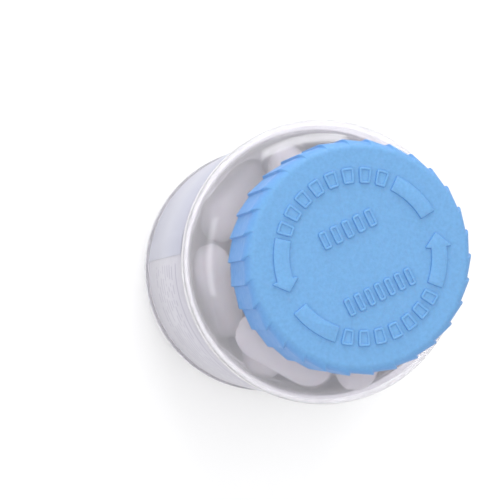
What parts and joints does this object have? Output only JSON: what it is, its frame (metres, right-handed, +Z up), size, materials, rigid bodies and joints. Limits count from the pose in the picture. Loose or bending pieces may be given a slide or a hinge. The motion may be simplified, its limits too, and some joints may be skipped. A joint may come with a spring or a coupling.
{
  "type": "prescription vial",
  "caption": "Clear wide-mouth tablet bottle with a wrap label, large oblong tablets and a light blue push-and-turn child-resistant cap.",
  "frame": {"origin": "middle of the base, on the plane of the standing ring", "axes": "+Z up along the bottle's axis through the cap; +X to the right when the marks in the middle of the cap are read; -X faces the label's seam"},
  "size_m": [0.0558, 0.0558, 0.09],
  "materials": {
    "clear_pet": "clear, glossy blown plastic",
    "label_film": "white printed film with a soft sheen",
    "foam": "matte closed-cell foam",
    "white_shell": "natural white moulded plastic, satin",
    "blue_cap": "light blue moulded plastic, fine satin",
    "tablet": "dry pressed powder with a thin matte film"
  },
  "bodies": {
    "bottle": {"bottle": "clear_pet", "label": "label_film", "tablet_01": "tablet", "tablet_02": "tablet", "tablet_03": "tablet", "tablet_04": "tablet", "tablet_05": "tablet", "tablet_06": "tablet", "tablet_07": "tablet", "tablet_08": "tablet", "tablet_09": "tablet", "tablet_10": "tablet", "tablet_11": "tablet", "tablet_12": "tablet", "tablet_13": "tablet", "tablet_14": "tablet", "tablet_15": "tablet", "tablet_16": "tablet", "tablet_17": "tablet", "tablet_18": "tablet", "tablet_19": "tablet", "tablet_20": "tablet", "tablet_21": "tablet", "tablet_22": "tablet", "tablet_23": "tablet", "tablet_24": "tablet", "tablet_25": "tablet", "tablet_26": "tablet", "tablet_27": "tablet", "tablet_28": "tablet", "tablet_29": "tablet", "tablet_30": "tablet", "tablet_31": "tablet", "tablet_32": "tablet", "tablet_33": "tablet", "tablet_34": "tablet", "tablet_35": "tablet", "tablet_36": "tablet", "tablet_37": "tablet", "tablet_38": "tablet", "tablet_39": "tablet", "tablet_40": "tablet", "tablet_41": "tablet", "tablet_42": "tablet", "tablet_43": "tablet", "tablet_44": "tablet", "tablet_45": "tablet", "tablet_46": "tablet", "tablet_47": "tablet", "tablet_48": "tablet", "tablet_49": "tablet", "tablet_50": "tablet", "tablet_51": "tablet", "tablet_52": "tablet"},
    "liner": {"liner": "foam"},
    "inner_cap": {"inner_cap": "white_shell"},
    "spring_ring": {"spring_ring": "white_shell"},
    "outer_cap": {"outer_cap": "blue_cap"}
  },
  "joints": [
    {"name": "cap_rise", "type": "slide", "parent": "bottle", "child": "liner", "axis": [0, 0, 1], "range_m": [0, 0.01058]},
    {"name": "cap_turn", "type": "hinge", "parent": "liner", "child": "inner_cap", "pos_m": [0, 0, 0.084], "axis": [0, 0, 1], "range_deg": [0, 900]},
    {"name": "ratchet_spin", "type": "hinge", "parent": "inner_cap", "child": "spring_ring", "pos_m": [0, 0, 0.0852], "axis": [0, 0, 1], "continuous": true},
    {"name": "push_down", "type": "slide", "parent": "spring_ring", "child": "outer_cap", "axis": [0, 0, 1], "range_m": [-0.0016, 0], "stiffness_N_per_m": 2500, "springref_m": 0.002, "deforming": ["spring_ring"]}
  ],
  "couplings": [
    {"joint": "cap_turn", "follows": "cap_rise", "rad_per_m": 1484.2}
  ]
}
